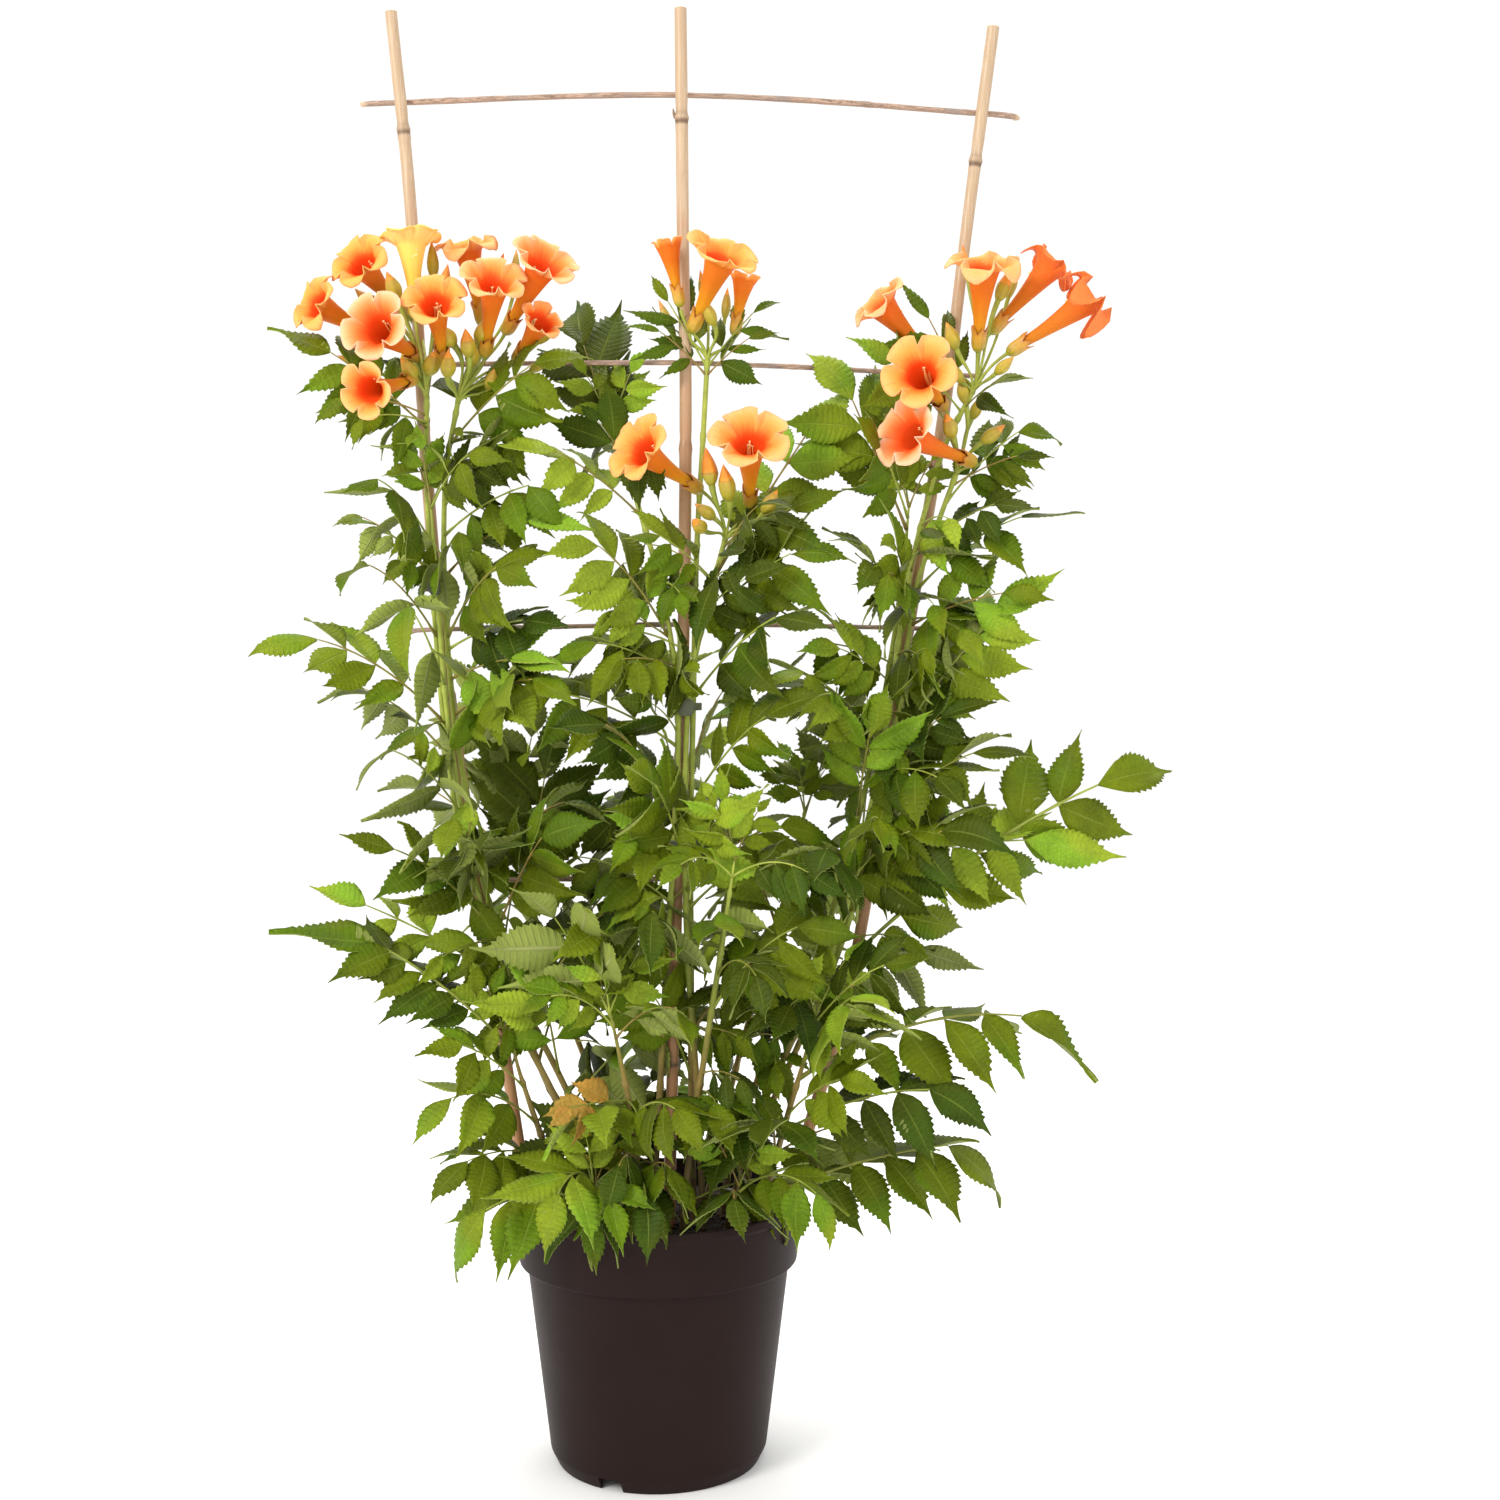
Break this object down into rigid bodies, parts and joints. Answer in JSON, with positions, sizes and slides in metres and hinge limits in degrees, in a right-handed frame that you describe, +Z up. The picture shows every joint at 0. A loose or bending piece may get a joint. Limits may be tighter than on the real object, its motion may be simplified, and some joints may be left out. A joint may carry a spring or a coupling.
{
  "type": "potted trumpet vine on a bamboo trellis",
  "caption": "Climbing trumpet vine with orange funnel flowers, tied to a fan of bamboo canes with cross rails, in a round nursery pot.",
  "frame": {"origin": "centre of the pot's flat underside, on the surface it stands on", "axes": "+Z up along the canes, +X to the right of someone who faces the plant, -Y towards them"},
  "size_m": [0.7577, 0.3538, 1.2125],
  "materials": {
    "pot_plastic": "dark brown-grey moulded polypropylene, faintly satin",
    "potting_mix": "damp bark-based potting mix, rough",
    "bamboo_cane": "pale straw bamboo skin, satin, browner towards the foot",
    "split_bamboo": "weathered split bamboo, dull and streaked",
    "tie_plastic": "dark grey-green soft plastic",
    "foliage": "mid green leaf, slightly glossy above and paler beneath",
    "petal": "satin apricot-orange petal with a yellower rim and a redder throat"
  },
  "bodies": {
    "root": {"pot": "pot_plastic", "soil": "potting_mix", "cane_left": "bamboo_cane", "cane_middle": "bamboo_cane", "cane_right": "bamboo_cane", "rail_low": "split_bamboo", "rail_middle": "split_bamboo", "rail_top": "split_bamboo", "rail_upper": "split_bamboo", "tie_left": "tie_plastic", "tie_middle_lower": "tie_plastic", "tie_middle_upper": "tie_plastic", "tie_right": "tie_plastic", "stem_left_a": "foliage", "stem_left_b": "foliage", "stem_left_c": "foliage", "stem_middle_a": "foliage", "stem_middle_b": "foliage", "stem_middle_c": "foliage", "stem_right_a": "foliage", "stem_right_b": "foliage", "stem_right_c": "foliage", "shoot_back_left": "foliage", "shoot_back_right": "foliage", "shoot_front": "foliage", "shoot_front_left": "foliage", "shoot_front_right": "foliage", "shoot_front_tall": "foliage", "shoot_low_left": "foliage", "shoot_low_right": "foliage", "bloom_left_1": "petal", "bloom_left_2": "petal", "bloom_left_3": "petal", "bloom_left_4": "petal", "bloom_left_5": "petal", "bloom_left_6": "petal", "bloom_left_7": "petal", "bloom_left_8": "petal", "bloom_left_9": "petal", "bloom_left_10": "petal", "bloom_middle_1": "petal", "bloom_middle_2": "petal", "bloom_middle_3": "petal", "bloom_middle_4": "petal", "bloom_middle_5": "petal", "bloom_right_1": "petal", "bloom_right_2": "petal", "bloom_right_3": "petal", "bloom_right_4": "petal", "bloom_right_5": "petal", "bloom_right_6": "petal"}
  },
  "joints": []
}
